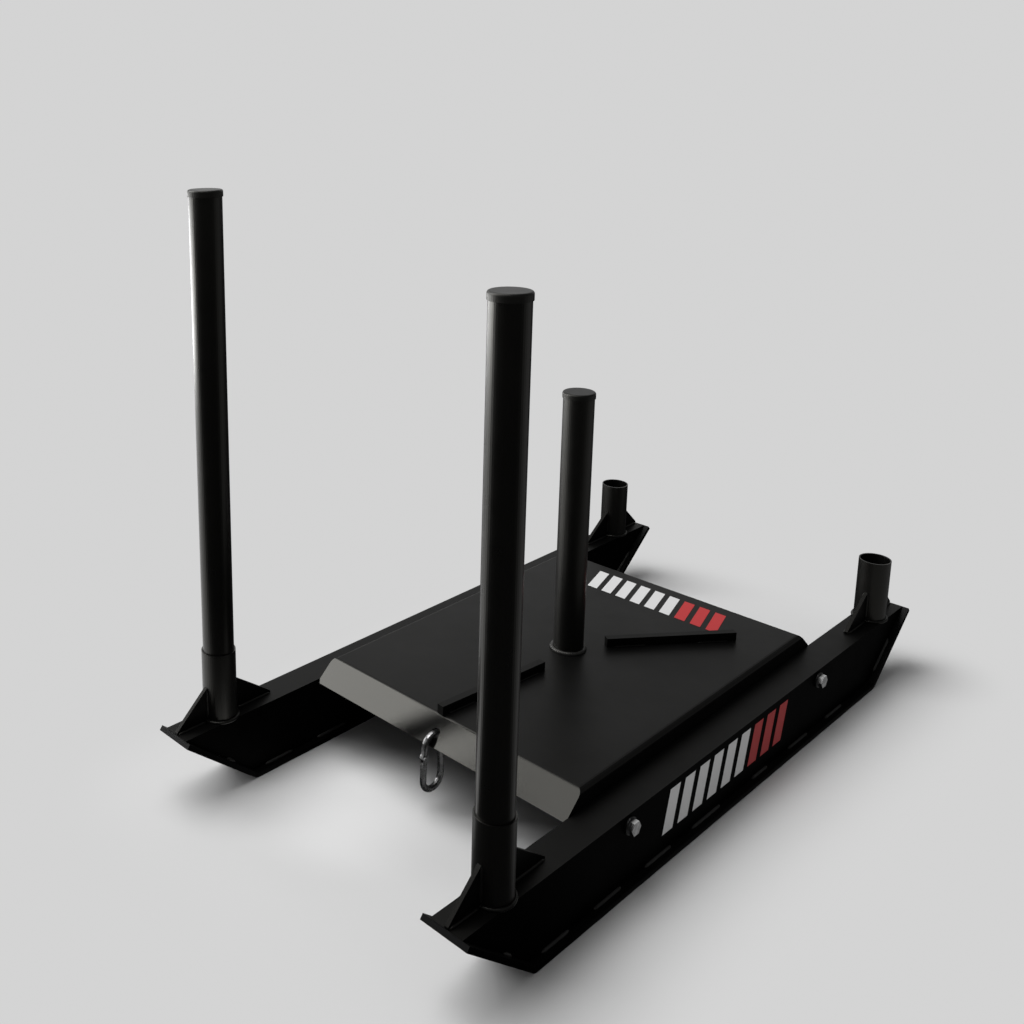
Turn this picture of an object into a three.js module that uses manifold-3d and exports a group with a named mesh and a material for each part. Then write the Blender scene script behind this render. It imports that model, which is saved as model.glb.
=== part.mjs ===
// Push sled: two runners on bent skid shoes, a folded deck between them with a plate post and
// three plate rests, four pole sockets with gussets, two push poles and a snap hook.
// Sizes are millimetres. X runs across the sled, Y along it and Z up; near is -Y, right is +X.
// The origin is the middle of the footprint, on the floor.
import * as THREE from "three";
import { mergeVertices } from "three/addons/utils/BufferGeometryUtils.js";
import Module from "manifold-3d";

const wasm = await Module();
wasm.setup();

// Daylight left between pieces that touch or are welded.
const fit_gap = 0.3;

// Runner body: a folded channel, open below, that stands on its shoe.
const runner_length = 1250;
const runner_rise_length = 130;
const runner_top_height = 114;
const runner_width = 50;
const runner_wall = 4;
const runner_spacing = 540;

// Skid shoe: one thick plate bent up at both ends.
const shoe_thickness = 8;
const shoe_width = 72;
const shoe_inner_bend_radius = 8;

// Pole sockets welded on the runners.
const socket_tip_distance = 85;
const socket_diameter = 53;
const socket_bore = 49;
const socket_rise = 112;

// Gussets beside each socket, the outer one towards the runner tip.
const gusset_thickness = 6;
const gusset_toe_height = 3;
const gusset_outer_rise = 56;
const gusset_outer_reach = 58;
const gusset_inner_rise = 55;
const gusset_inner_reach = 73;

// Deck: a folded sheet with sloping end flanges and side flanges inside the runners.
const deck_height = 142;
const deck_sheet = 4;
const deck_flat_length = 639;
const deck_flange_run = 37;
const deck_flange_drop = 33;
const deck_inner_bend_radius = 4;
const deck_side_inset = 14.5;
const deck_side_below_bolt = 30;

// Cross bars on edge under the deck.
const stiffener_thickness = 6;
const stiffener_depth = 45;
const stiffener_place_share = 0.28;

// Bolts that hold the deck between the runners.
const bolt_fold_distance = 38.5;
const bolt_height = 96;
const bolt_diameter = 12;
const bolt_hole_clearance = 0.5;
const bolt_flats = 19;
const bolt_head_height = 7.5;
const bolt_thread_overhang = 4;
const bolt_washer_diameter = 26;
const bolt_washer_thickness = 2.5;
const nut_height = 10.5;

// Plate post in the middle of the deck.
const post_diameter = 50;
const post_wall = 4;
const post_rise = 448;
const post_setback = 7;

// Flat bars that weight plates lie on.
const plate_rest_width = 12;
const plate_rest_height = 15;
const plate_rest_length = 225;
const plate_rest_radius = 65;
const plate_rest_angle = 36.8;
const near_rest_offset = 14;
const near_rest_distance = 91;
const near_rest_angle = 185.5;

// Push poles and their end caps.
const pole_diameter = 48.3;
const pole_wall = 3.2;
const pole_length_right = 732.4;
const pole_length_left = 808.4;
const cap_overhang = 1.35;
const cap_head_height = 10;
const cap_edge_radius = 3;
const cap_plug_depth = 20;

// Snap hook: a pear of round wire through a hole in the near flange.
const hook_wire = 10;
const hook_hole_diameter = 16;
const hook_hole_depth = 29;
const hook_top_radius = 17;
const hook_bottom_radius = 20;
const hook_centre_distance = 53;
const hook_hinge_share = 0.3;
const hook_nose_share = 0.88;
const hook_tongue_thickness = 4;
const hook_knuckle_radius = 4.8;
const hook_shoulder_gap = 0.9;
const hook_pin_diameter = 3;
const hook_nose_gap = 0.4;

// Facets per full turn.
const tube_facets = 48;
const bolt_facets = 24;
const wire_facets = 12;
const bend_facets = 5;
const hook_path_steps = 44;
const hook_arc_points = 9;

const black_coat = { color: 0x17181b, roughness: 0.45, metalness: 0.3 };
const black_gloss = { color: 0x121316, roughness: 0.3, metalness: 0.4 };
const black_plastic = { color: 0x1d1e21, roughness: 0.7, metalness: 0 };
const black_steel = { color: 0x232428, roughness: 0.4, metalness: 0.7 };
const bright_steel = { color: 0x8d9094, roughness: 0.35, metalness: 0.9 };

const x_axis = new THREE.Vector3(1, 0, 0);
const y_axis = new THREE.Vector3(0, 1, 0);
const z_axis = new THREE.Vector3(0, 0, 1);
const runner_flat_length = runner_length - 2 * runner_rise_length;
const socket_place = runner_length / 2 - socket_tip_distance;
const bolt_place = deck_flat_length / 2 - bolt_fold_distance;
const stiffener_place = deck_flat_length * stiffener_place_share;
const sides = { left: -1, right: 1 };
const ends = { near: -1, far: 1 };

const degrees = (angle) => THREE.MathUtils.degToRad(angle);
const point = (across, up) => new THREE.Vector2(across, up);

// Turns a closed surface into a solid with its faces outwards.
function solid(geometry) {
  const bare = geometry.clone();
  bare.deleteAttribute("normal");
  bare.deleteAttribute("uv");
  const welded = mergeVertices(bare);
  const places = welded.attributes.position;
  const corners = [new THREE.Vector3(), new THREE.Vector3(), new THREE.Vector3()];
  const faces = [];
  let volume = 0;
  for (let i = 0; i < welded.index.count; i += 3) {
    const [a, b, c] = [0, 1, 2].map((k) => welded.index.getX(i + k));
    if (a === b || b === c || c === a) continue;
    [a, b, c].forEach((vertex, k) => corners[k].fromBufferAttribute(places, vertex));
    volume += corners[0].dot(corners[1].clone().cross(corners[2]));
    faces.push([a, b, c]);
  }
  const outward = faces.map(([a, b, c]) => (volume < 0 ? [a, c, b] : [a, b, c]));
  const mesh = new wasm.Mesh({
    numProp: 3,
    vertProperties: new Float32Array(places.array),
    triVerts: new Uint32Array(outward.flat()),
  });
  return new wasm.Manifold(mesh);
}

// Surface of a solid, with one normal for each face.
function surface(body) {
  const mesh = body.getMesh();
  const geometry = new THREE.BufferGeometry();
  geometry.setAttribute("position", new THREE.BufferAttribute(new Float32Array(mesh.vertProperties), 3));
  geometry.setIndex(new THREE.BufferAttribute(new Uint32Array(mesh.triVerts), 1));
  const faceted = geometry.toNonIndexed();
  faceted.computeVertexNormals();
  return faceted;
}

// Outline through the corners, with an arc of the given radius at each of them.
function outline(corners, radii) {
  const path = [];
  corners.forEach((corner, i) => {
    if (radii[i] === 0) {
      path.push(corner.clone());
      return;
    }
    const last = corners[(i + corners.length - 1) % corners.length].clone().sub(corner).normalize();
    const next = corners[(i + 1) % corners.length].clone().sub(corner).normalize();
    const half = Math.acos(last.dot(next)) / 2;
    const middle = last.clone().add(next).setLength(radii[i] / Math.sin(half)).add(corner);
    const start = last.multiplyScalar(radii[i] / Math.tan(half)).add(corner).sub(middle).angle();
    const end = next.multiplyScalar(radii[i] / Math.tan(half)).add(corner).sub(middle).angle();
    const sweep = Math.atan2(Math.sin(end - start), Math.cos(end - start));
    for (let step = 0; step <= bend_facets; step += 1) {
      const angle = start + (sweep * step) / bend_facets;
      path.push(point(Math.cos(angle), Math.sin(angle)).multiplyScalar(radii[i]).add(middle));
    }
  });
  return path;
}

// Solid with a side outline of Y and Z places, the given width across.
function across(path, width, middle) {
  const geometry = new THREE.ExtrudeGeometry(new THREE.Shape(path), { depth: width, bevelEnabled: false });
  geometry.translate(0, 0, middle - width / 2);
  geometry.applyMatrix4(new THREE.Matrix4().makeBasis(y_axis, z_axis, x_axis));
  return solid(geometry);
}

// Solid with an end outline of X and Z places, the given length along the sled.
function along(path, length) {
  const geometry = new THREE.ExtrudeGeometry(new THREE.Shape(path), { depth: length, bevelEnabled: false });
  geometry.translate(0, 0, -length / 2);
  geometry.applyMatrix4(new THREE.Matrix4().makeBasis(x_axis, z_axis, y_axis.clone().negate()));
  return solid(geometry);
}

// Block given by its size and middle.
function block(size, middle) {
  const geometry = new THREE.BoxGeometry(size.x, size.y, size.z);
  geometry.translate(middle.x, middle.y, middle.z);
  return solid(geometry);
}

// Solid of revolution about Z from pairs of radius and height.
function turned(profile, facets) {
  const geometry = new THREE.LatheGeometry(profile.map(([radius, up]) => point(radius, up)), facets);
  geometry.rotateX(degrees(90));
  return solid(geometry);
}

// Round bar about Z from one height to another.
function rod(diameter, bottom, top, facets) {
  const radius = diameter / 2;
  return turned([[0, bottom], [radius, bottom], [radius, top], [0, top]], facets);
}

// Tube about Z from one height to another.
function tube(outer, inner, bottom, top) {
  const profile = [
    [inner / 2, bottom],
    [outer / 2, bottom],
    [outer / 2, top],
    [inner / 2, top],
    [inner / 2, bottom],
  ];
  return turned(profile, tube_facets);
}

// Six-sided bar about Z.
function hexagon(flats, bottom, top) {
  const geometry = new THREE.CylinderGeometry(
    flats / 2 / Math.cos(degrees(30)),
    flats / 2 / Math.cos(degrees(30)),
    top - bottom,
    6,
  );
  geometry.rotateX(degrees(90));
  geometry.translate(0, 0, (bottom + top) / 2);
  return solid(geometry);
}

// Lays a solid that was made about Z along X, pointing to the given side.
function sideways(body, side) {
  return body.rotate([0, 90 * side, 0]);
}

const sled = new THREE.Group();
sled.name = "push_sled";

function add(name, body, look) {
  const mesh = new THREE.Mesh(surface(body), new THREE.MeshStandardMaterial(look));
  mesh.name = name;
  sled.add(mesh);
}

// Runner outline grown by a distance square to its bottom and slopes.
const runner_bottom_height = shoe_thickness + fit_gap;
const runner_slope = Math.atan2(
  runner_top_height - runner_bottom_height,
  runner_rise_length,
);
const slope_out = point(Math.sin(runner_slope), -Math.cos(runner_slope));

function runner_corner(grown) {
  const shift = grown * Math.tan(runner_slope / 2);
  return point(runner_flat_length / 2 + shift, runner_bottom_height - grown);
}

function runner_tip(grown) {
  return point(runner_length / 2, runner_top_height).addScaledVector(slope_out, grown);
}

const mirrored = (place) => point(-place.x, place.y);

function runner_solid(middle) {
  const corner = runner_corner(0);
  const tip = runner_tip(0);
  const bend = shoe_inner_bend_radius - fit_gap;
  const path = outline([mirrored(corner), corner, tip, mirrored(tip)], [bend, bend, 0, 0]);
  const hollow_top = runner_top_height - runner_wall;
  const hollow = block(
    new THREE.Vector3(runner_width - 2 * runner_wall, 2 * runner_length, hollow_top),
    new THREE.Vector3(middle, 0, hollow_top / 2),
  );
  return across(path, runner_width, middle).subtract(hollow).subtract(bolt_holes());
}

function shoe_solid(middle) {
  const inner = fit_gap;
  const outer = fit_gap + shoe_thickness;
  const half = [runner_corner(inner), runner_tip(inner), runner_tip(outer), runner_corner(outer)];
  const radii = [shoe_inner_bend_radius, 0, 0, shoe_inner_bend_radius + shoe_thickness];
  const corners = [...half, ...half.map(mirrored).reverse()];
  return across(outline(corners, [...radii, ...radii.slice().reverse()]), shoe_width, middle);
}

// Clearance holes of all four deck bolts, right across the sled.
function bolt_holes() {
  const hole = bolt_diameter + 2 * bolt_hole_clearance;
  const reach = runner_spacing / 2 + runner_width;
  const bar = sideways(rod(hole, -reach, reach, bolt_facets), sides.right);
  return Object.values(ends)
    .map((end) => bar.translate([0, end * bolt_place, bolt_height]))
    .reduce((all, next) => all.add(next));
}

// Gusset standing on a runner, its upright edge against the socket wall.
function gusset_solid(middle, place, direction, rise, reach) {
  const wall = place + direction * (socket_diameter / 2 + fit_gap);
  const foot = runner_top_height + fit_gap;
  const toe = wall + direction * reach;
  const path = [
    point(wall, foot),
    point(toe, foot),
    point(toe, foot + gusset_toe_height),
    point(wall, runner_top_height + rise),
  ];
  return across(path, gusset_thickness, middle);
}

// Cap with a rounded head and a plug that enters a tube.
function cap_solid(tube_diameter, bore, tube_top) {
  const head = tube_diameter / 2 + cap_overhang;
  const plug = bore / 2 - fit_gap;
  const seat = tube_top + fit_gap;
  const crown = seat + cap_head_height;
  const arc = [];
  for (let step = 0; step <= bend_facets; step += 1) {
    const angle = degrees((90 * step) / bend_facets);
    const radius = head - cap_edge_radius + cap_edge_radius * Math.cos(angle);
    arc.push([radius, crown - cap_edge_radius + cap_edge_radius * Math.sin(angle)]);
  }
  const profile = [[0, seat - cap_plug_depth], [plug, seat - cap_plug_depth], [plug, seat], [head, seat]];
  return turned([...profile, ...arc, [0, crown]], tube_facets);
}

// Runners with shoes, sockets, gussets and deck bolts, the same on both sides.
const pole_lengths = { left: pole_length_left, right: pole_length_right };
const runner_face = (runner_spacing + runner_width) / 2;
const deck_half_width = (runner_spacing - runner_width) / 2 - fit_gap;

for (const [side_name, side] of Object.entries(sides)) {
  const middle = (side * runner_spacing) / 2;
  add(`runner_body_${side_name}`, runner_solid(middle), black_coat);
  add(`skid_shoe_${side_name}`, shoe_solid(middle), black_coat);

  for (const [end_name, end] of Object.entries(ends)) {
    const place = end * socket_place;
    const socket = tube(
      socket_diameter,
      socket_bore,
      runner_top_height + fit_gap,
      runner_top_height + socket_rise,
    );
    add(`socket_${end_name}_${side_name}`, socket.translate([middle, place, 0]), black_coat);
    const outer = gusset_solid(middle, place, end, gusset_outer_rise, gusset_outer_reach);
    const inner = gusset_solid(middle, place, -end, gusset_inner_rise, gusset_inner_reach);
    add(`gusset_outer_${end_name}_${side_name}`, outer, black_coat);
    add(`gusset_inner_${end_name}_${side_name}`, inner, black_coat);

    const washer_seat = runner_face + fit_gap;
    const head_seat = washer_seat + bolt_washer_thickness + fit_gap;
    const nut_seat = deck_half_width - deck_sheet - fit_gap;
    const bolt_end = nut_seat - nut_height - bolt_thread_overhang;
    const bolt_spot = [0, end * bolt_place, bolt_height];
    const loose_bore = bolt_diameter + 2 * fit_gap;
    const bolt = rod(bolt_diameter, bolt_end, head_seat + bolt_head_height / 2, bolt_facets)
      .add(hexagon(bolt_flats, head_seat, head_seat + bolt_head_height));
    const bore = rod(loose_bore, 0, 2 * runner_face, bolt_facets);
    const washer = rod(bolt_washer_diameter, washer_seat, washer_seat + bolt_washer_thickness, bolt_facets)
      .subtract(bore);
    const nut = hexagon(bolt_flats, nut_seat - nut_height, nut_seat).subtract(bore);
    add(`deck_bolt_${end_name}_${side_name}`, sideways(bolt, side).translate(bolt_spot), black_steel);
    add(`bolt_washer_${end_name}_${side_name}`, sideways(washer, side).translate(bolt_spot), black_steel);
    add(`bolt_nut_${end_name}_${side_name}`, sideways(nut, side).translate(bolt_spot), black_steel);
  }

  const pole_foot = runner_top_height + fit_gap;
  const pole_top = pole_foot + pole_lengths[side_name];
  const pole_bore = pole_diameter - 2 * pole_wall;
  const pole_spot = [middle, ends.near * socket_place, 0];
  const pole = tube(pole_diameter, pole_bore, pole_foot, pole_top);
  add(`pole_${side_name}`, pole.translate(pole_spot), black_gloss);
  const cap = cap_solid(pole_diameter, pole_bore, pole_top);
  add(`pole_cap_${side_name}`, cap.translate(pole_spot), black_plastic);
}

// Snap hook places: the flange hole, the rim of it that the wire hangs on, the two arc middles
// and the straight front limb.
const fold = point(deck_flat_length / 2, deck_height);
const flange_direction = point(deck_flange_run, -deck_flange_drop).normalize();
const flange_out = point(-flange_direction.y, flange_direction.x);
const flange_hole = fold.clone().addScaledVector(flange_direction, hook_hole_depth)
  .addScaledVector(flange_out, -deck_sheet / 2);
const hook_hole = point(-flange_hole.x, flange_hole.y);
const rim_reach = point(-flange_direction.x, flange_direction.y).multiplyScalar(hook_hole_diameter / 2);
const rim_rise = point(-flange_out.x, flange_out.y).multiplyScalar(deck_sheet / 2);
const hook_rim = hook_hole.clone().add(rim_reach).add(rim_rise);
const hook_top = point(hook_rim.x, hook_rim.y - hook_top_radius + hook_wire / 2 + fit_gap);
const hook_bottom = point(hook_top.x, hook_top.y - hook_centre_distance);
const hook_flare = Math.asin((hook_bottom_radius - hook_top_radius) / hook_centre_distance);

function hook_arc(middle, radius, from, to) {
  const places = [];
  for (let step = 0; step <= hook_arc_points; step += 1) {
    const angle = from + ((to - from) * step) / hook_arc_points;
    places.push(point(Math.cos(angle), Math.sin(angle)).multiplyScalar(radius).add(middle));
  }
  return places;
}

const hook_top_arc = hook_arc(hook_top, hook_top_radius, Math.PI - hook_flare, hook_flare);
const hook_bottom_arc = hook_arc(hook_bottom, hook_bottom_radius, hook_flare, -Math.PI - hook_flare);
const limb_top = hook_top_arc[0];
const limb_bottom = hook_bottom_arc[hook_bottom_arc.length - 1];
const hook_hinge = limb_top.clone().lerp(limb_bottom, hook_hinge_share);
const hook_nose = limb_top.clone().lerp(limb_bottom, hook_nose_share);
const gate_length = hook_hinge.distanceTo(hook_nose) - hook_nose_gap;
const shoulder = hook_knuckle_radius + hook_shoulder_gap;

// Sets a solid made about the gate hinge into its place on the front limb.
function at_hinge(body) {
  return body.rotate([-THREE.MathUtils.radToDeg(hook_flare), 0, 0]).translate([0, hook_hinge.x, hook_hinge.y]);
}

function hook_pin_bore() {
  return sideways(rod(hook_pin_diameter + 2 * fit_gap, -hook_wire, hook_wire, wire_facets), sides.right);
}

function knuckle(width) {
  return sideways(rod(2 * hook_knuckle_radius, -width / 2, width / 2, bolt_facets), sides.right);
}

// Open wire loop whose upper end narrows to a tongue for the gate.
function hook_body_solid() {
  const places = [hook_hinge, ...hook_top_arc, ...hook_bottom_arc, hook_nose];
  const path = new THREE.CurvePath();
  for (let i = 1; i < places.length; i += 1) {
    const [from, to] = [places[i - 1], places[i]].map((place) => new THREE.Vector3(0, place.x, place.y));
    path.add(new THREE.LineCurve3(from, to));
  }
  const wire = new THREE.Shape();
  wire.absarc(0, 0, hook_wire / 2, 0, 2 * Math.PI);
  const settings = { steps: hook_path_steps, curveSegments: wire_facets / 2, extrudePath: path };
  const loop = solid(new THREE.ExtrudeGeometry(wire, settings));
  const relief = block(
    new THREE.Vector3(2 * hook_wire, 2 * hook_wire, 2 * shoulder),
    new THREE.Vector3(),
  );
  const tongue_height = shoulder + hook_tongue_thickness;
  const tongue = block(
    new THREE.Vector3(hook_tongue_thickness, 2 * hook_knuckle_radius, tongue_height),
    new THREE.Vector3(0, 0, tongue_height / 2),
  );
  return loop.subtract(at_hinge(relief))
    .add(at_hinge(tongue.add(knuckle(hook_tongue_thickness))))
    .subtract(at_hinge(hook_pin_bore()));
}

function hook_gate_solid() {
  const slot = block(
    new THREE.Vector3(hook_tongue_thickness + 2 * fit_gap, 2 * hook_wire, 2 * shoulder),
    new THREE.Vector3(),
  );
  const gate = rod(hook_wire, -gate_length, 0, wire_facets).add(knuckle(hook_wire));
  return at_hinge(gate.subtract(slot).subtract(hook_pin_bore()));
}

const hook_pin = sideways(rod(hook_pin_diameter, -hook_wire / 2, hook_wire / 2, wire_facets), sides.right);
add("carabiner_body", hook_body_solid(), bright_steel);
add("carabiner_gate", hook_gate_solid(), bright_steel);
add("carabiner_gate_pin", at_hinge(hook_pin), bright_steel);

// Deck: the top with its end flanges, side flanges and rounded long edges.
function deck_solid() {
  const end_drop = fold.clone().add(point(deck_flange_run, -deck_flange_drop));
  const under_fold = fold.clone().addScaledVector(
    flange_out.clone().add(point(0, 1)).normalize(),
    -deck_sheet / Math.cos(flange_out.angleTo(point(0, 1)) / 2),
  );
  const under_end = end_drop.clone().addScaledVector(flange_out, -deck_sheet);
  const half = [fold, end_drop, under_end, under_fold];
  const outer_bend = deck_inner_bend_radius + deck_sheet;
  const radii = [outer_bend, 0, 0, deck_inner_bend_radius];
  const corners = [...half, ...half.map(mirrored).reverse()];
  const top = across(outline(corners, [...radii, ...radii.slice().reverse()]), 2 * deck_half_width, 0);

  // Each side flange closes the corners: its ends follow the end flanges, then slope back.
  const flange_middle = deck_half_width - deck_sheet / 2;
  const flange_foot = point(deck_flat_length / 2 - deck_side_inset, bolt_height - deck_side_below_bolt);
  const flange_half = [flange_foot, end_drop, fold];
  const flange_radii = [0, 0, outer_bend];
  const flange_path = outline(
    [...flange_half, ...flange_half.map(mirrored).reverse()],
    [...flange_radii, ...flange_radii.slice().reverse()],
  );
  const left = across(flange_path, deck_sheet, -flange_middle);
  const right = across(flange_path, deck_sheet, flange_middle);

  const floor = [point(-deck_half_width, 0), point(deck_half_width, 0)];
  const roof = [point(deck_half_width, deck_height), point(-deck_half_width, deck_height)];
  const envelope = along(outline([...floor, ...roof], [0, 0, outer_bend, outer_bend]), runner_length);
  const hole = rod(hook_hole_diameter, -hook_wire, hook_wire, bolt_facets)
    .rotate([THREE.MathUtils.radToDeg(flange_out.angleTo(point(0, 1))), 0, 0])
    .translate([0, hook_hole.x, hook_hole.y]);
  return top.add(left).add(right).intersect(envelope).subtract(bolt_holes()).subtract(hole);
}

add("deck_tray", deck_solid(), black_coat);

for (const [end_name, end] of Object.entries(ends)) {
  const size = new THREE.Vector3(
    2 * (deck_half_width - deck_sheet - fit_gap),
    stiffener_thickness,
    stiffener_depth,
  );
  const top = deck_height - deck_sheet - fit_gap;
  const place = new THREE.Vector3(0, end * stiffener_place, top - stiffener_depth / 2);
  add(`deck_stiffener_${end_name}`, block(size, place), black_coat);
}

// Plate post with its cap and the rests around it.
const post_foot = deck_height + fit_gap;
const post_top = deck_height + post_rise - cap_head_height - fit_gap;
const post_bore = post_diameter - 2 * post_wall;
const post_place = [0, -post_setback, 0];
const post = tube(post_diameter, post_bore, post_foot, post_top);
add("centre_post", post.translate(post_place), black_coat);
add("centre_post_cap", cap_solid(post_diameter, post_bore, post_top).translate(post_place), black_plastic);

// Rest that starts at a place seen from the post and runs off at an angle from +Y.
function plate_rest_solid(start, angle) {
  const size = new THREE.Vector3(plate_rest_width, plate_rest_length, plate_rest_height);
  const middle = new THREE.Vector3(0, plate_rest_length / 2, post_foot + plate_rest_height / 2);
  return block(size, middle).rotate([0, 0, -angle]).translate([start.x, start.y - post_setback, 0]);
}

const radial = (angle) => point(Math.sin(degrees(angle)), Math.cos(degrees(angle)));
const far_right_start = radial(plate_rest_angle).multiplyScalar(plate_rest_radius);
const near_start = point(near_rest_offset, -near_rest_distance);
add("plate_rest_far_right", plate_rest_solid(far_right_start, plate_rest_angle), black_coat);
add("plate_rest_far_left", plate_rest_solid(mirrored(far_right_start), -plate_rest_angle), black_coat);
add("plate_rest_near", plate_rest_solid(near_start, near_rest_angle), black_coat);

export default sled;
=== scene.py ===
import math
import bpy
import bmesh
from mathutils import Matrix, Vector


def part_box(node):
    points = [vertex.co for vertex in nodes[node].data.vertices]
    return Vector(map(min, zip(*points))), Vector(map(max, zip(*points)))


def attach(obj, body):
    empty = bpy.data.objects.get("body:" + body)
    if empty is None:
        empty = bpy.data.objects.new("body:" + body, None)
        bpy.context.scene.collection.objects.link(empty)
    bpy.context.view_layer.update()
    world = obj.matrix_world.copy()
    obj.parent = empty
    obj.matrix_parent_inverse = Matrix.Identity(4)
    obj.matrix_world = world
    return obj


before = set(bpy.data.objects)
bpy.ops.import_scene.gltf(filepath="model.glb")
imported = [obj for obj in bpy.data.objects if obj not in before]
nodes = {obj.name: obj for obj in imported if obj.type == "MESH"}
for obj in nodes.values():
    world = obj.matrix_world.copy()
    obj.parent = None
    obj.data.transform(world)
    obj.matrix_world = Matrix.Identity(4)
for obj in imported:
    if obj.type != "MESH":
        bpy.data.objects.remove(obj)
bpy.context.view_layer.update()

# Camera, from a fit to the photograph's straight edges and upright lines.
# The focal length and the centre of the picture are in pixels.
IMAGE = 1024
SENSOR = 36
CAMERA_AT = Vector((1.0028, -1.4862, 1.0703))
AZIMUTH, PITCH, ROLL = (math.radians(a) for a in (49.04, 12.37, -0.743))
FOCAL, CENTRE_X, CENTRE_Y = 1116.2, 291.9, 333.3

camera_data = bpy.data.cameras.new("camera")
camera_data.sensor_width = SENSOR
camera_data.lens = FOCAL * SENSOR / IMAGE
camera_data.shift_x = (IMAGE / 2 - CENTRE_X) / IMAGE
camera_data.shift_y = (CENTRE_Y - IMAGE / 2) / IMAGE
camera = bpy.data.objects.new("camera", camera_data)
bpy.context.collection.objects.link(camera)
forward = Vector((-math.sin(AZIMUTH) * math.cos(PITCH),
                  math.cos(AZIMUTH) * math.cos(PITCH),
                  -math.sin(PITCH)))
level = Vector((math.cos(AZIMUTH), math.sin(AZIMUTH), 0))
upright = level.cross(forward)
right = math.cos(ROLL) * level + math.sin(ROLL) * upright
up = math.cos(ROLL) * upright - math.sin(ROLL) * level
turn = Matrix((right, up, -forward)).transposed().to_4x4()
camera.matrix_world = Matrix.Translation(CAMERA_AT) @ turn
bpy.context.scene.camera = camera
bpy.context.scene.view_settings.view_transform = "Standard"


# Shader helpers. A value is a number, a tuple or the socket of another node.
def feed(tree, socket, value):
    if isinstance(value, bpy.types.NodeSocket):
        tree.links.new(value, socket)
    else:
        socket.default_value = value


def grey(value):
    return (value, value, value, 1)


def new_material(name):
    material = bpy.data.materials.new(name)
    material.use_nodes = True
    tree = material.node_tree
    return material, tree, tree.nodes["Principled BSDF"]


def object_place(tree):
    return tree.nodes.new("ShaderNodeTexCoord").outputs["Object"]


def z_of(tree, vector):
    split = tree.nodes.new("ShaderNodeSeparateXYZ")
    feed(tree, split.inputs["Vector"], vector)
    return split.outputs["Z"]


def noise(tree, scale, detail, stretch=(1, 1, 1)):
    mapping = tree.nodes.new("ShaderNodeMapping")
    feed(tree, mapping.inputs["Vector"], object_place(tree))
    feed(tree, mapping.inputs["Scale"], stretch)
    texture = tree.nodes.new("ShaderNodeTexNoise")
    feed(tree, texture.inputs["Vector"], mapping.outputs["Vector"])
    feed(tree, texture.inputs["Scale"], scale)
    feed(tree, texture.inputs["Detail"], detail)
    feed(tree, texture.inputs["Roughness"], 0.55)
    return texture.outputs["Fac"]


def grey_ramp(tree, factor, low_at, low_value, high_at, high_value):
    node = tree.nodes.new("ShaderNodeValToRGB")
    feed(tree, node.inputs["Fac"], factor)
    low_end, high_end = node.color_ramp.elements
    low_end.position = low_at
    low_end.color = grey(low_value)
    high_end.position = high_at
    high_end.color = grey(high_value)
    return node.outputs["Color"]


def map_range(tree, value, from_range, to_range, smooth=False):
    node = tree.nodes.new("ShaderNodeMapRange")
    node.interpolation_type = "SMOOTHSTEP" if smooth else "LINEAR"
    feed(tree, node.inputs["Value"], value)
    for name, limit in zip(("From Min", "From Max", "To Min", "To Max"), (*from_range, *to_range)):
        feed(tree, node.inputs[name], limit)
    return node.outputs["Result"]


def value_math(tree, operation, first, second, clamp=False):
    node = tree.nodes.new("ShaderNodeMath")
    node.operation = operation
    node.use_clamp = clamp
    feed(tree, node.inputs[0], first)
    feed(tree, node.inputs[1], second)
    return node.outputs["Value"]


def vector_math(tree, operation, first, second=None):
    node = tree.nodes.new("ShaderNodeVectorMath")
    node.operation = operation
    feed(tree, node.inputs[0], first)
    if second is not None:
        feed(tree, node.inputs[1], second)
    return node.outputs["Value" if operation in ("DOT_PRODUCT", "LENGTH") else "Vector"]


def mix_shaders(tree, factor, first, second):
    node = tree.nodes.new("ShaderNodeMixShader")
    for socket, value in zip(node.inputs, (factor, first, second)):
        feed(tree, socket, value)
    return node.outputs["Shader"]


# Says whether a ray comes from the camera, and whether it is a mirrored one.
def ray_kinds(tree):
    rays = tree.nodes.new("ShaderNodeLightPath")
    mirrored = value_math(tree, "MAXIMUM", rays.outputs["Is Glossy Ray"],
                          rays.outputs["Is Transmission Ray"])
    return rays.outputs["Is Camera Ray"], mirrored


# A value that changes with the upward part of the face's normal.
SLOPES = (0.2, 0.8)


def by_slope(tree, steep_value, flat_value, slopes=SLOPES):
    geometry = tree.nodes.new("ShaderNodeNewGeometry")
    upward = z_of(tree, geometry.outputs["True Normal"])
    return map_range(tree, upward, slopes, (steep_value, flat_value))


def bump(tree, shader, heights, strength, distance):
    node = tree.nodes.new("ShaderNodeBump")
    feed(tree, node.inputs["Strength"], strength)
    feed(tree, node.inputs["Distance"], distance)
    feed(tree, node.inputs["Height"], heights)
    feed(tree, shader.inputs["Normal"], node.outputs["Normal"])


# Finishes. Two tones of paint in soft clouds, a roughness that varies a little, and a fine grain.
# Faces that point up may have another specular level than steep ones, and steep ones another roughness.
UNIT = (0, 1)
PAINT_TINT = (1, 0.98, 0.9, 1)
PAINT_GRAIN, PAINT_BUMP, PAINT_GRAIN_HEIGHT = 900, 0.12, 0.0004


def paint_clouds(tree, dark, light):
    return grey_ramp(tree, noise(tree, scale=9, detail=5), 0.35, dark, 0.7, light)


def paint_roughness(tree, limits):
    return map_range(tree, noise(tree, scale=30, detail=6), UNIT, limits)


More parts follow.
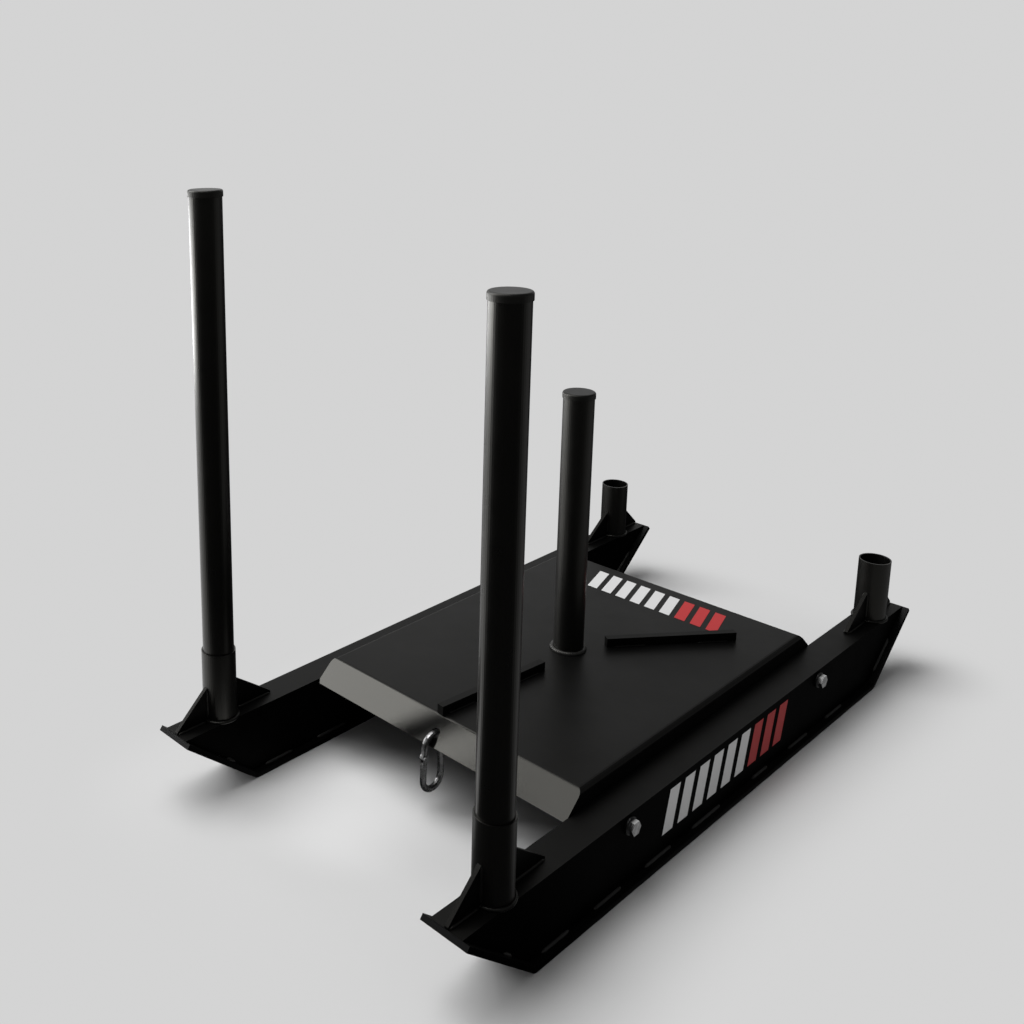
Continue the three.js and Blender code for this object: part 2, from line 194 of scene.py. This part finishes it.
def painted(name, dark, light, roughness, specular, top_specular=None, steep_roughness=None,
            slopes=SLOPES, grain=PAINT_GRAIN, strength=PAINT_BUMP):
    material, tree, shader = new_material(name)
    feed(tree, shader.inputs["Base Color"], paint_clouds(tree, dark, light))
    rough = paint_roughness(tree, roughness)
    if steep_roughness is not None:
        rough = by_slope(tree, steep_roughness, rough, slopes)
    feed(tree, shader.inputs["Roughness"], rough)
    if top_specular is not None:
        specular = by_slope(tree, specular, top_specular, slopes)
    feed(tree, shader.inputs["Specular IOR Level"], specular)
    feed(tree, shader.inputs["Specular Tint"], PAINT_TINT)
    bump(tree, shader, noise(tree, scale=grain, detail=3), strength, PAINT_GRAIN_HEIGHT)
    return material


coat = painted("satin_coat", 0.0014, 0.0024, (0.36, 0.48), 0.07)
runner_coat = painted("runner_coat", 0.001, 0.0018, (0.36, 0.48), 0.006, top_specular=0.085)
deck_coat = painted("deck_coat", 0.002, 0.004, (0.34, 0.44), 0.19, top_specular=0.094,
                    steep_roughness=0.05, slopes=(0.78, 0.96))
gloss_coat = painted("pole_coat", 0.0004, 0.0007, (0.24, 0.34), 0.5, grain=700, strength=0.05)
tube_coat = painted("tube_coat", 0.0006, 0.001, (0.3, 0.4), 0.5)
plastic = painted("cap_plastic", 0.002, 0.004, (0.36, 0.46), 0.4, top_specular=0.13, grain=1500)
weld_coat = painted("weld_coat", 0.003, 0.005, (0.26, 0.36), 0.25, grain=500, strength=0.3)
worn_weld = painted("worn_weld", 0.012, 0.03, (0.36, 0.46), 0.25, grain=500, strength=0.3)


def steel(name, dark, light, roughness):
    material, tree, shader = new_material(name)
    clouds = grey_ramp(tree, noise(tree, scale=120, detail=5), 0.3, dark, 0.7, light)
    feed(tree, shader.inputs["Base Color"], clouds)
    rough = map_range(tree, noise(tree, scale=260, detail=4), UNIT, roughness)
    feed(tree, shader.inputs["Roughness"], rough)
    feed(tree, shader.inputs["Metallic"], 1)
    bump(tree, shader, noise(tree, scale=700, detail=3), strength=0.1, distance=0.0003)
    return material


zinc = steel("zinc_steel", 0.13, 0.32, (0.2, 0.36))
bolt_steel = steel("bolt_steel", 0.35, 0.7, (0.16, 0.32))
black_zinc = steel("black_zinc", 0.03, 0.06, (0.35, 0.5))

# The shoes are painted, with streaks of bare steel on the underside.
BARE_STEEL = (0.168, 0.16, 0.152, 1)
PAINT_FROM, BARE_TO = 0.0012, 0.0004


def scuffed_shoe():
    material, tree, shader = new_material("scuffed_shoe")
    underside = map_range(tree, z_of(tree, object_place(tree)), (PAINT_FROM, BARE_TO), UNIT)
    streaks = grey_ramp(tree, noise(tree, scale=60, detail=6, stretch=(6, 0.5, 6)), 0.42, 0, 0.6, 1)
    worn = value_math(tree, "MULTIPLY", underside, streaks)
    mix = tree.nodes.new("ShaderNodeMix")
    mix.data_type = "RGBA"
    factor, paint, bare = (mix.inputs[i] for i in (0, 6, 7))
    feed(tree, factor, worn)
    feed(tree, paint, paint_clouds(tree, 0.001, 0.0018))
    feed(tree, bare, BARE_STEEL)
    feed(tree, shader.inputs["Base Color"], mix.outputs[2])
    feed(tree, shader.inputs["Roughness"], paint_roughness(tree, (0.38, 0.52)))
    feed(tree, shader.inputs["Metallic"], worn)
    feed(tree, shader.inputs["Specular IOR Level"], by_slope(tree, 0.006, 0.1))
    bump(tree, shader, noise(tree, scale=PAINT_GRAIN, detail=3), PAINT_BUMP, PAINT_GRAIN_HEIGHT)
    return material


shoe_coat = scuffed_shoe()


def flat_print(name, colour):
    material, tree, shader = new_material(name)
    feed(tree, shader.inputs["Base Color"], colour)
    feed(tree, shader.inputs["Roughness"], 0.45)
    feed(tree, shader.inputs["Specular IOR Level"], 0.35)
    return material


PRINTS = {
    "white": flat_print("white_print", (0.62, 0.62, 0.62, 1)),
    "red": flat_print("red_print", (0.4, 0.012, 0.014, 1)),
}

# CAD nodes: for each kind a finish, the width of its rounded edges and their segments.
LOOKS = {
    "runner_body": (runner_coat, 0.0028, 3),
    "skid_shoe": (shoe_coat, 0.0012, 2),
    "socket": (tube_coat, 0.0005, 2),
    "gusset": (coat, 0.0009, 2),
    "deck_tray": (deck_coat, 0.0009, 2),
    "deck_stiffener": (coat, 0.0008, 2),
    "deck_bolt": (bolt_steel, 0.0006, 2),
    "bolt_washer": (black_zinc, 0.0004, 1),
    "bolt_nut": (black_zinc, 0.0006, 2),
    "pole_cap": (plastic, 0.0003, 1),
    "pole": (gloss_coat, 0.0004, 1),
    "centre_post_cap": (plastic, 0.0003, 1),
    "centre_post": (tube_coat, 0.0004, 1),
    "plate_rest": (coat, 0.0015, 2),
    "carabiner": (zinc, 0, 0),
}
ROUNDED_ABOVE = math.radians(40)
SHARP_ABOVE = math.radians(32)

for name, node in nodes.items():
    kind = max((k for k in LOOKS if name.startswith(k)), key=len)
    material, width, segments = LOOKS[kind]
    node.data.materials.clear()
    node.data.materials.append(material)
    if width:
        edge = node.modifiers.new("edge", "BEVEL")
        edge.width = width
        edge.segments = segments
        edge.limit_method = "ANGLE"
        edge.angle_limit = ROUNDED_ABOVE
        edge.harden_normals = False
    for polygon in node.data.polygons:
        polygon.use_smooth = True
    sharp = node.modifiers.new("sharp", "EDGE_SPLIT")
    sharp.split_angle = SHARP_ABOVE


def new_object(name, mesh, material, smooth):
    piece = bpy.data.objects.new(name, mesh)
    bpy.context.collection.objects.link(piece)
    piece.data.materials.append(material)
    for polygon in mesh.polygons:
        polygon.use_smooth = smooth
    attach(piece, "frame")


# Weld beads: round, rippled beads along a path of points, each with the direction that the bead faces.
# Open beads thin out towards their ends. The second, slow wave keeps the ripples from looking alike.
BEAD_STEP = 0.0011
BEAD_SIDES = 8
RIPPLE_LENGTH, RIPPLE_BASE, RIPPLE_DEPTH = 0.0035, 0.86, 0.14
WAVE_DEPTH, WAVE_RATE, WAVE_START = 0.05, 310, 1.3
END_SIZE, END_LENGTH = 0.25, 2.2
RING_POINTS = 48


def bead_rings(path, facing, radius, closed):
    stops = list(zip(path, facing))
    if closed:
        stops.append(stops[0])
    lengths = [0.0]
    for (a, _), (b, _) in zip(stops, stops[1:]):
        lengths.append(lengths[-1] + (b - a).length)
    total = lengths[-1]
    count = max(6, int(total / BEAD_STEP))
    rings = []
    k = 0
    for i in range(count if closed else count + 1):
        at = total * i / count
        while k < len(lengths) - 2 and lengths[k + 1] < at:
            k += 1
        part = (at - lengths[k]) / max(1e-9, lengths[k + 1] - lengths[k])
        (a, facing_a), (b, facing_b) = stops[k], stops[k + 1]
        ripple = RIPPLE_DEPTH * math.sin(math.pi * ((at / RIPPLE_LENGTH) % 1))
        wave = WAVE_DEPTH * math.sin(at * WAVE_RATE + WAVE_START)
        end = 1.0
        if not closed:
            end = min(1.0, END_SIZE + min(at, total - at) / (END_LENGTH * radius))
        size = radius * (RIPPLE_BASE + ripple + wave) * end
        centre = a.lerp(b, part)
        outward = facing_a.lerp(facing_b, part).normalized()
        sideways = (b - a).normalized().cross(outward).normalized()
        angles = [2 * math.pi * j / BEAD_SIDES for j in range(BEAD_SIDES)]
        rings.append([centre + size * (math.cos(t) * outward + math.sin(t) * sideways) for t in angles])
    return rings


def bead(name, path, facing, radius, material, closed=False):
    builder = bmesh.new()
    rings = [[builder.verts.new(point) for point in ring]
             for ring in bead_rings(path, facing, radius, closed)]
    following = rings[1:] + rings[:1] if closed else rings[1:]
    for one, two in zip(rings, following):
        for j in range(BEAD_SIDES):
            k = (j + 1) % BEAD_SIDES
            builder.faces.new((one[j], one[k], two[k], two[j]))
    if not closed:
        builder.faces.new(list(reversed(rings[0])))
        builder.faces.new(rings[-1])
    bmesh.ops.recalc_face_normals(builder, faces=builder.faces)
    mesh = bpy.data.meshes.new(name)
    builder.to_mesh(mesh)
    builder.free()
    new_object(name, mesh, material, True)


def straight_bead(name, start, end, facing, radius, material=weld_coat):
    bead(name, [Vector(start), Vector(end)], [Vector(facing).normalized()] * 2, radius, material)


def ring_bead(name, centre, ring_radius, radius, material=weld_coat):
    x, y, z = centre
    angles = [2 * math.pi * i / RING_POINTS for i in range(RING_POINTS)]
    path = [Vector((x + ring_radius * math.cos(a), y + ring_radius * math.sin(a), z)) for a in angles]
    facing = [Vector((math.cos(a), math.sin(a), 1)).normalized() for a in angles]
    bead(name, path, facing, radius, material, closed=True)


# Middle and radius of an upright tube, from its box.
def tube(name):
    low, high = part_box(name)
    return (low.x + high.x) / 2, (low.y + high.y) / 2, (high.x - low.x) / 2


# The middle line of each bead runs just outside the corner that it fills, by these offsets.
RING_LIFT, POST_RING_OUT, SOCKET_RING_OUT = 0.0012, 0.0012, 0.0014
FOOT_OUT, FOOT_LIFT, FOOT_FROM_WALL, FOOT_FROM_TOE = 0.0006, 0.0006, 0.004, 0.002
RISE_OUT, RISE_FROM_WALL, RISE_FROM_FOOT, RISE_FROM_TOP = 0.0004, 0.0006, 0.005, 0.002
STITCH_OUT, STITCH_LIFT, SLOPE_STITCH_LIFT = 0.0008, 0.0006, 0.0008
REST_OUT, REST_LIFT = 0.0005, 0.0006
POST_BEAD, SOCKET_BEAD, STITCH_BEAD = 0.0042, 0.0028, 0.003
FOOT_BEAD, RISE_BEAD, REST_BEAD = 0.0026, 0.0024, 0.002

SIDES = {"left": -1, "right": 1}
ENDS = {"near": -1, "far": 1}
deck_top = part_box("deck_tray")[1].z
post_x, post_y, post_radius = tube("centre_post")
ring_bead("post_weld", (post_x, post_y, deck_top + RING_LIFT), post_radius + POST_RING_OUT,
          POST_BEAD, worn_weld)


def gusset_welds(kind, end_name, side_name, socket_x, socket_y, socket_radius, foot_z):
    low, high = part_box(f"gusset_{kind}_{end_name}_{side_name}")
    way = ENDS[end_name] if kind == "outer" else -ENDS[end_name]
    wall, toe = (low.y, high.y) if way > 0 else (high.y, low.y)
    for face, face_x, lean in (("a", low.x, -1), ("b", high.x, 1)):
        foot_x = face_x + lean * FOOT_OUT
        straight_bead(f"gusset_weld_{kind}_{end_name}_{side_name}_{face}",
                      (foot_x, wall + way * FOOT_FROM_WALL, foot_z + FOOT_LIFT),
                      (foot_x, toe - way * FOOT_FROM_TOE, foot_z + FOOT_LIFT),
                      (lean, 0, 1), FOOT_BEAD)
        rise_x = face_x + lean * RISE_OUT
        wall_y = socket_y + way * math.sqrt(max(0, socket_radius ** 2 - (face_x - socket_x) ** 2))
        rise_y = wall_y + way * RISE_FROM_WALL
        straight_bead(f"gusset_rise_{kind}_{end_name}_{side_name}_{face}",
                      (rise_x, rise_y, foot_z + RISE_FROM_FOOT),
                      (rise_x, rise_y, high.z - RISE_FROM_TOP),
                      (lean, way, 0), RISE_BEAD)


# Stitch welds where the runner's sides meet the shoe, at the places seen in the photograph.
STITCHES = ((-0.4717, -0.4148), (-0.3593, -0.2962), (-0.2374, -0.1704), (-0.113, -0.0325),
            (0.066, 0.1148), (0.1857, 0.2536), (0.3195, 0.3835))
SLOPE_STITCHES = ((-0.5494, -0.5336), (0.5136, 0.5684))
SHOE_TOP = 0.0083
RUNNER_LENGTH, FLAT_LENGTH = 1.25, 0.99


def stitch_welds(side_name, low, high):
    side = SIDES[side_name]
    slope = math.atan2(high.z - SHOE_TOP, (RUNNER_LENGTH - FLAT_LENGTH) / 2)
    inner_x, outer_x = (low.x, high.x) if side > 0 else (high.x, low.x)
    for face, face_x, lean in (("in", inner_x, -side), ("out", outer_x, side)):
        x = face_x + lean * STITCH_OUT
        for i, (start, end) in enumerate(STITCHES):
            straight_bead(f"stitch_{face}_{side_name}_{i}",
                          (x, start, SHOE_TOP + STITCH_LIFT), (x, end, SHOE_TOP + STITCH_LIFT),
                          (lean, 0, 1), STITCH_BEAD, worn_weld)
        for j, ends in enumerate(SLOPE_STITCHES):
            rises = [(abs(y) - FLAT_LENGTH / 2) * math.tan(slope) for y in ends]
            start, end = ((x, y, SHOE_TOP + rise + SLOPE_STITCH_LIFT) for y, rise in zip(ends, rises))
            way = -1 if ends[0] < 0 else 1
            straight_bead(f"stitch_slope_{face}_{side_name}_{j}", start, end,
                          (lean, -way * math.sin(slope), math.cos(slope)), STITCH_BEAD, worn_weld)


for side_name in SIDES:
    runner_low, runner_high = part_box(f"runner_body_{side_name}")
    for end_name in ENDS:
        x, y, radius = tube(f"socket_{end_name}_{side_name}")
        ring_bead(f"socket_weld_{end_name}_{side_name}", (x, y, runner_high.z + RING_LIFT),
                  radius + SOCKET_RING_OUT, SOCKET_BEAD)
        for kind in ("outer", "inner"):
            gusset_welds(kind, end_name, side_name, x, y, radius, runner_high.z)
    stitch_welds(side_name, runner_low, runner_high)

# Short welds at both ends of each long side of a plate rest.
SAME_HEIGHT = 0.001
SAME_CORNER = 0.004
LONG_SIDE = 0.05
WELDED_SHARES = ((0.06, 0.3), (0.7, 0.94))


def rest_welds(rest):
    vertices = nodes[f"plate_rest_{rest}"].data.vertices
    lowest = min(v.co.z for v in vertices)
    foot = [v.co.copy() for v in vertices if v.co.z < lowest + SAME_HEIGHT]
    middle = sum(foot, Vector()) / len(foot)
    corners = []
    for point in foot:
        if all((point - corner).length > SAME_CORNER for corner in corners):
            corners.append(point)
    corners.sort(key=lambda c: math.atan2(c.y - middle.y, c.x - middle.x))
    for i, (a, b) in enumerate(zip(corners, corners[1:] + corners[:1])):
        if (a - b).length < LONG_SIDE:
            continue
        run = (b - a).normalized()
        out = Vector((run.y, -run.x, 0))
        if out.dot((a + b) / 2 - middle) <= 0:
            out = -out
        for j, shares in enumerate(WELDED_SHARES):
            start, end = (a.lerp(b, share) + REST_OUT * out for share in shares)
            start.z = end.z = deck_top + REST_LIFT
            straight_bead(f"rest_weld_{rest}_{i}_{j}", start, end, out + Vector((0, 0, 1)),
                          REST_BEAD, deck_coat)


for rest in ("near", "far_right", "far_left"):
    rest_welds(rest)

# Printed stripes in place of words: slanted bars, the first ones white and the last ones red.
BARS, WHITE_BARS = 9, 6
BAR_SHARE = 0.66
PRINT_LIFT = 0.00035


def stripes(name, origin, along, upward, out, length, height, slant):
    origin, along, upward, out = (Vector(v) for v in (origin, along, upward, out))
    pitch = length / BARS
    bars = {"white": range(WHITE_BARS), "red": range(WHITE_BARS, BARS)}
    for colour, places in bars.items():
        vertices = []
        for i in places:
            start = i * pitch
            end = start + BAR_SHARE * pitch
            corners = (origin + along * start, origin + along * end,
                       origin + along * (end + slant) + upward * height,
                       origin + along * (start + slant) + upward * height)
            vertices.extend(corner + out * PRINT_LIFT for corner in corners)
        mesh = bpy.data.meshes.new(f"{name}_{colour}")
        mesh.from_pydata(vertices, [], [tuple(range(k, k + 4)) for k in range(0, len(vertices), 4)])
        mesh.update()
        if mesh.polygons[0].normal.dot(out) < 0:
            mesh.flip_normals()
        new_object(f"{name}_{colour}", mesh, PRINTS[colour], False)


stripes("deck_print", (-0.118, 0.222, deck_top), (1, 0, 0), (0, 1, 0), (0, 0, 1),
        length=0.27, height=0.072, slant=-0.02)
for side_name in ("right", "left"):
    side = SIDES[side_name]
    runner_low, runner_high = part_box(f"runner_body_{side_name}")
    outer_x = runner_high.x if side > 0 else runner_low.x
    stripes(f"side_print_{side_name}", (outer_x, -0.195 * side, 0.037),
            (0, side, 0), (0, 0, 1), (side, 0, 0), length=0.365, height=0.066, slant=0.016)

# Floor. It lies just under the shoes.
BACKDROP = 0.657
HALF = 30
FLOOR_DROP = 0.0003
floor_mesh = bpy.data.meshes.new("floor")
floor_mesh.from_pydata([(-HALF, -HALF, 0), (HALF, -HALF, 0), (HALF, HALF, 0), (-HALF, HALF, 0)],
                       [], [(0, 1, 2, 3)])
floor = bpy.data.objects.new("floor", floor_mesh)
floor.location.z = -FLOOR_DROP
bpy.context.collection.objects.link(floor)
floor_material, tree, shader = new_material("floor")
feed(tree, shader.inputs["Roughness"], 0.9)
feed(tree, shader.inputs["Specular IOR Level"], 0.1)
place = object_place(tree)

# Its paint is darker towards the lamps and lighter beside the left runner's ends. That is painted shade
# where the lamps light it most, and painted light where the left runner's shadow falls, so that it looks
# even.
FLOOR_TONE = 0.62
FLOOR_PAINTED_SHADE_LEAN = (0.15, 0.11, 0)
ENDS_SHIFT, ENDS_AWAY, ENDS_WIDTH = (0.13, 0, 0), (0, 0.44, 0), (1 / 0.24, 1 / 0.19, 0)
ENDS_PAINTED_LIGHT = 0.26
# Painted shade: the paint darkens towards the near left, where the lamps light the floor most.
lean = vector_math(tree, "DOT_PRODUCT", place, FLOOR_PAINTED_SHADE_LEAN)
ends = vector_math(tree, "ABSOLUTE", vector_math(tree, "ADD", place, ENDS_SHIFT))
spread = vector_math(tree, "MULTIPLY", vector_math(tree, "SUBTRACT", ends, ENDS_AWAY), ENDS_WIDTH)
# Painted light: the paint lightens beside the left runner's ends, where its shadow falls.
painted_light = map_range(tree, vector_math(tree, "LENGTH", spread), (1, 0), (0, ENDS_PAINTED_LIGHT), smooth=True)
tone = value_math(tree, "ADD", value_math(tree, "ADD", lean, FLOOR_TONE), painted_light, clamp=True)
feed(tree, shader.inputs["Base Color"], tone)

# Away from the sled's footprint it turns into the backdrop's own tone.
FOOTPRINT = (0.3, 0.6, 0)
FADE_WIDTH = 0.2
outside = vector_math(tree, "SUBTRACT", vector_math(tree, "ABSOLUTE", place), FOOTPRINT)
outside = vector_math(tree, "MAXIMUM", outside, (0, 0, 0))
fade = map_range(tree, vector_math(tree, "LENGTH", outside), (0, FADE_WIDTH), UNIT, smooth=True)

# Only to mirrored rays, the floor glows: bright to the left of the near poles, dimmer behind the sled to
# the right and nearly dark elsewhere.
# This glow lights the highlights on the shiny pieces. The bearing is counted from the middle between the
# near poles.
BEARING_FROM = (0, -0.54, 0)
BRIGHT_WAY, BRIGHT_SECTOR, BRIGHT_TONES = (-0.978, -0.208, 0), (0.66, 0.92), (0.02, 1)
BEHIND_WAY, BEHIND_SECTOR, BEHIND_TONES = (0.62, 0.78, 0), (0.8, 1), (0, 0.2)
bearing = vector_math(tree, "NORMALIZE", vector_math(tree, "SUBTRACT", place, BEARING_FROM))
bright = map_range(tree, vector_math(tree, "DOT_PRODUCT", bearing, BRIGHT_WAY),
                   BRIGHT_SECTOR, BRIGHT_TONES, smooth=True)
behind = map_range(tree, vector_math(tree, "DOT_PRODUCT", bearing, BEHIND_WAY),
                   BEHIND_SECTOR, BEHIND_TONES, smooth=True)
_, mirrored = ray_kinds(tree)
glow_tone = tree.nodes.new("ShaderNodeMix")
feed(tree, glow_tone.inputs["Factor"], mirrored)
feed(tree, glow_tone.inputs["A"], BACKDROP)
feed(tree, glow_tone.inputs["B"], value_math(tree, "ADD", bright, behind))
glow = tree.nodes.new("ShaderNodeEmission")
feed(tree, glow.inputs["Color"], glow_tone.outputs["Result"])
surface = mix_shaders(tree, value_math(tree, "MAXIMUM", fade, mirrored), shader.outputs["BSDF"],
                      glow.outputs["Emission"])
feed(tree, tree.nodes["Material Output"].inputs["Surface"], surface)
floor_mesh.materials.append(floor_material)

# World: the backdrop as seen, a soft light on the sled, and a backdrop for mirrored rays that is
# lighter to the left.
SOFT_LIGHT = 0.18
LEFT = (-1, 0, 0)
LEFT_SECTOR, LEFT_TONES = (-0.2, 0.85), (0.12, 1)


def background(tree, colour):
    node = tree.nodes.new("ShaderNodeBackground")
    feed(tree, node.inputs["Color"], colour)
    return node.outputs["Background"]


world = bpy.data.worlds.new("world")
bpy.context.scene.world = world
world.use_nodes = True
tree = world.node_tree
tree.nodes.clear()
direction = tree.nodes.new("ShaderNodeTexCoord").outputs["Generated"]
leftness = vector_math(tree, "DOT_PRODUCT", direction, LEFT)
from_camera, mirrored = ray_kinds(tree)
unseen = mix_shaders(tree, mirrored, background(tree, grey(SOFT_LIGHT)),
                     background(tree, map_range(tree, leftness, LEFT_SECTOR, LEFT_TONES)))
surroundings = mix_shaders(tree, from_camera, unseen, background(tree, grey(BACKDROP)))
output = tree.nodes.new("ShaderNodeOutputWorld")
feed(tree, output.inputs["Surface"], surroundings)


def lamp(name, place, target, size, power):
    data = bpy.data.lights.new(name, "AREA")
    data.shape = "RECTANGLE"
    data.size, data.size_y = size
    data.energy = power
    item = bpy.data.objects.new(name, data)
    bpy.context.collection.objects.link(item)
    item.location = place
    item.rotation_euler = (Vector(target) - Vector(place)).to_track_quat("-Z", "Y").to_euler()
    item.visible_camera = False


lamp("key", (-2.3, -1.55, 2.0), target=(0, -0.25, 0.1), size=(1.3, 1.3), power=52)
lamp("side", (-2.65, -1.0, 0.34), target=(0, -0.5, 0.34), size=(3.2, 0.6), power=36)
lamp("top", (-0.95, -0.75, 2.7), target=(0, 0, 0.1), size=(2.2, 2.2), power=74)
